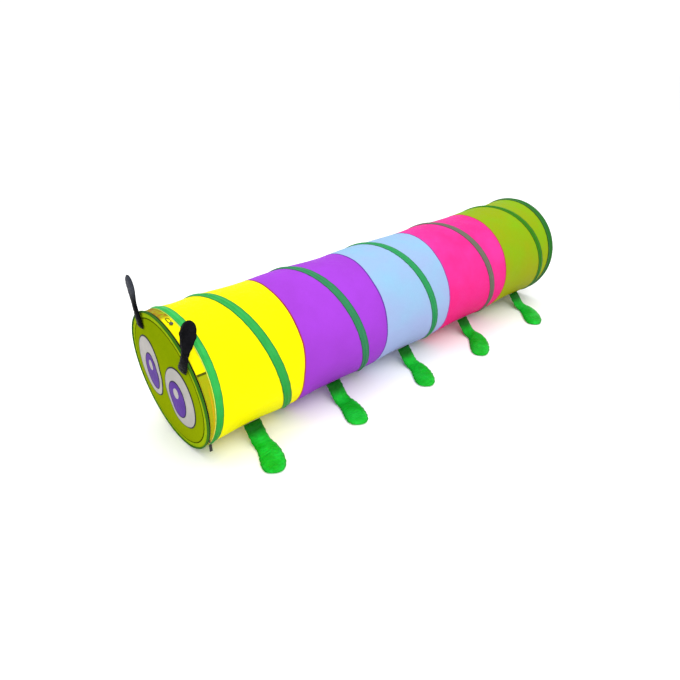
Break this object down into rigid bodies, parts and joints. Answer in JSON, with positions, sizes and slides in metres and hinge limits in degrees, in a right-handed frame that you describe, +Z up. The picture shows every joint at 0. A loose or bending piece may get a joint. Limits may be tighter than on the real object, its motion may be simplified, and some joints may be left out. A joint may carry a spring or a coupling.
{
  "type": "kids play tunnel",
  "caption": "Pop-up crawl tunnel for children in the form of a many-legged garden grub: coloured fabric panels round a spring wire, with a zipped face flap, antennae and padded legs.",
  "frame": {"origin": "on the floor under the middle of the whole object", "axes": "+X along the tunnel from the face flap to the open tail, +Y to the creature's right, +Z up"},
  "size_m": [1.8706, 0.6918, 0.563],
  "materials": {
    "yellow": "satin",
    "purple": "satin",
    "blue": "satin",
    "pink": "satin",
    "olive": "satin",
    "face": "satin",
    "rim": "satin",
    "gold": "satin",
    "white": "satin",
    "violet": "satin",
    "black": "satin",
    "leg": "satin",
    "tape_head": "satin",
    "tape_yellow": "satin",
    "tape_purple": "satin",
    "tape_blue": "satin",
    "tape_pink": "satin",
    "tape_olive": "satin",
    "tape_tail": "satin",
    "spring_steel": "satin",
    "zip": "satin"
  },
  "bodies": {
    "head": {"tape_head": "tape_head", "spring_wire": "spring_steel", "front_band": "yellow", "front_facing": "gold", "zip_half_tube": "zip", "flap_seam": "yellow", "toggle_button": "zip", "toggle_loop": "zip"},
    "flap": {"face_panel": "face", "flap_piping": "rim", "zip_half_flap": "zip", "eye_white_left": "white", "eye_white_right": "white", "iris_left": "violet", "iris_right": "violet", "highlight_left": "white", "highlight_right": "white"},
    "zip_slider": {"zip_slider": "zip"},
    "zip_pull": {"zip_pull": "zip"},
    "antenna_left": {"antenna_left": "black"},
    "antenna_right": {"antenna_right": "black"},
    "segment_1": {"panel_yellow": "yellow", "tape_yellow": "tape_yellow"},
    "segment_2": {"panel_purple": "purple", "tape_purple": "tape_purple"},
    "segment_3": {"panel_blue": "blue", "tape_blue": "tape_blue"},
    "segment_4": {"panel_pink": "pink", "tape_pink": "tape_pink"},
    "segment_5": {"panel_olive": "olive", "tape_olive": "tape_olive"},
    "tail": {"tape_tail": "tape_tail"},
    "leg_left_1": {"leg_left_1": "leg"},
    "leg_left_2": {"leg_left_2": "leg"},
    "leg_left_3": {"leg_left_3": "leg"},
    "leg_left_4": {"leg_left_4": "leg"},
    "leg_left_5": {"leg_left_5": "leg"},
    "leg_right_1": {"leg_right_1": "leg"},
    "leg_right_2": {"leg_right_2": "leg"},
    "leg_right_3": {"leg_right_3": "leg"},
    "leg_right_4": {"leg_right_4": "leg"},
    "leg_right_5": {"leg_right_5": "leg"}
  },
  "joints": [
    {"name": "collapse", "type": "slide", "parent": "head", "child": "tail", "axis": [-1, 0, 0], "range_m": [0, 1.73], "stiffness_N_per_m": 15, "springref_m": -0.3, "deforming": ["spring_wire", "panel_yellow", "tape_yellow", "panel_purple", "tape_purple", "panel_blue", "tape_blue", "panel_pink", "tape_pink", "panel_olive", "tape_olive", "leg_left_1", "leg_left_2", "leg_left_3", "leg_left_4", "leg_left_5", "leg_right_1", "leg_right_2", "leg_right_3", "leg_right_4", "leg_right_5"]},
    {"name": "segment_1_slide", "type": "slide", "parent": "head", "child": "segment_1", "axis": [-1, 0, 0], "range_m": [0, 0.1361]},
    {"name": "segment_2_slide", "type": "slide", "parent": "head", "child": "segment_2", "axis": [-1, 0, 0], "range_m": [0, 0.4758]},
    {"name": "segment_3_slide", "type": "slide", "parent": "head", "child": "segment_3", "axis": [-1, 0, 0], "range_m": [0, 0.8374]},
    {"name": "segment_4_slide", "type": "slide", "parent": "head", "child": "segment_4", "axis": [-1, 0, 0], "range_m": [0, 1.205]},
    {"name": "segment_5_slide", "type": "slide", "parent": "head", "child": "segment_5", "axis": [-1, 0, 0], "range_m": [0, 1.5932]},
    {"name": "flap_swing", "type": "hinge", "parent": "head", "child": "flap", "pos_m": [-0.8869, 0.22889, 0.22889], "axis": [0.0534, 0, -0.9986], "range_deg": [0, 180], "deforming": ["flap_seam"]},
    {"name": "zip_travel", "type": "hinge", "parent": "head", "child": "zip_slider", "pos_m": [-0.88845, 0, 0.22889], "axis": [0.9985, -0.0067, 0.0534], "range_deg": [-166, 42]},
    {"name": "zip_pull_swing", "type": "hinge", "parent": "zip_slider", "child": "zip_pull", "pos_m": [-0.883, -0.19359, 0.1026], "axis": [-1, 0, 0], "range_deg": [-28, 140]},
    {"name": "antenna_left_bend", "type": "hinge", "parent": "flap", "child": "antenna_left", "pos_m": [-0.90927, -0.14697, 0.34289], "axis": [0.1987, -0.639, -0.7431], "range_deg": [-3, 80], "stiffness_Nm_per_rad": 0.1},
    {"name": "antenna_right_bend", "type": "hinge", "parent": "flap", "child": "antenna_right", "pos_m": [-0.90885, 0.08869, 0.38553], "axis": [-0.0026, -0.9993, 0.037], "range_deg": [0, 85], "stiffness_Nm_per_rad": 0.1},
    {"name": "leg_left_1_lift", "type": "hinge", "parent": "segment_1", "child": "leg_left_1", "pos_m": [-0.70826, -0.14551, 0.0599], "axis": [-1, 0, 0], "range_deg": [0, 75]},
    {"name": "leg_left_2_lift", "type": "hinge", "parent": "segment_2", "child": "leg_left_2", "pos_m": [-0.36074, -0.1456, 0.05979], "axis": [-1, 0, 0], "range_deg": [0, 75]},
    {"name": "leg_left_3_lift", "type": "hinge", "parent": "segment_3", "child": "leg_left_3", "pos_m": [0.00928, -0.14563, 0.05976], "axis": [-1, 0, 0], "range_deg": [0, 75]},
    {"name": "leg_left_4_lift", "type": "hinge", "parent": "segment_4", "child": "leg_left_4", "pos_m": [0.38535, -0.14565, 0.05974], "axis": [-1, 0, 0], "range_deg": [0, 75]},
    {"name": "leg_left_5_lift", "type": "hinge", "parent": "segment_5", "child": "leg_left_5", "pos_m": [0.78246, -0.14608, 0.05922], "axis": [-1, 0, 0], "range_deg": [0, 75]},
    {"name": "leg_right_1_lift", "type": "hinge", "parent": "segment_1", "child": "leg_right_1", "pos_m": [-0.70826, 0.14553, 0.05988], "axis": [1, 0, 0], "range_deg": [0, 75]},
    {"name": "leg_right_2_lift", "type": "hinge", "parent": "segment_2", "child": "leg_right_2", "pos_m": [-0.36074, 0.14523, 0.06023], "axis": [1, 0, 0], "range_deg": [0, 75]},
    {"name": "leg_right_3_lift", "type": "hinge", "parent": "segment_3", "child": "leg_right_3", "pos_m": [0.00928, 0.14499, 0.06052], "axis": [1, 0, 0], "range_deg": [0, 75]},
    {"name": "leg_right_4_lift", "type": "hinge", "parent": "segment_4", "child": "leg_right_4", "pos_m": [0.38535, 0.14496, 0.06056], "axis": [1, 0, 0], "range_deg": [0, 75]},
    {"name": "leg_right_5_lift", "type": "hinge", "parent": "segment_5", "child": "leg_right_5", "pos_m": [0.78246, 0.14509, 0.06041], "axis": [1, 0, 0], "range_deg": [0, 75]}
  ],
  "couplings": [
    {"joint": "segment_1_slide", "follows": "collapse", "ratio": 0.0781},
    {"joint": "segment_2_slide", "follows": "collapse", "ratio": 0.27444},
    {"joint": "segment_3_slide", "follows": "collapse", "ratio": 0.48349},
    {"joint": "segment_4_slide", "follows": "collapse", "ratio": 0.69596},
    {"joint": "segment_5_slide", "follows": "collapse", "ratio": 0.92032}
  ]
}
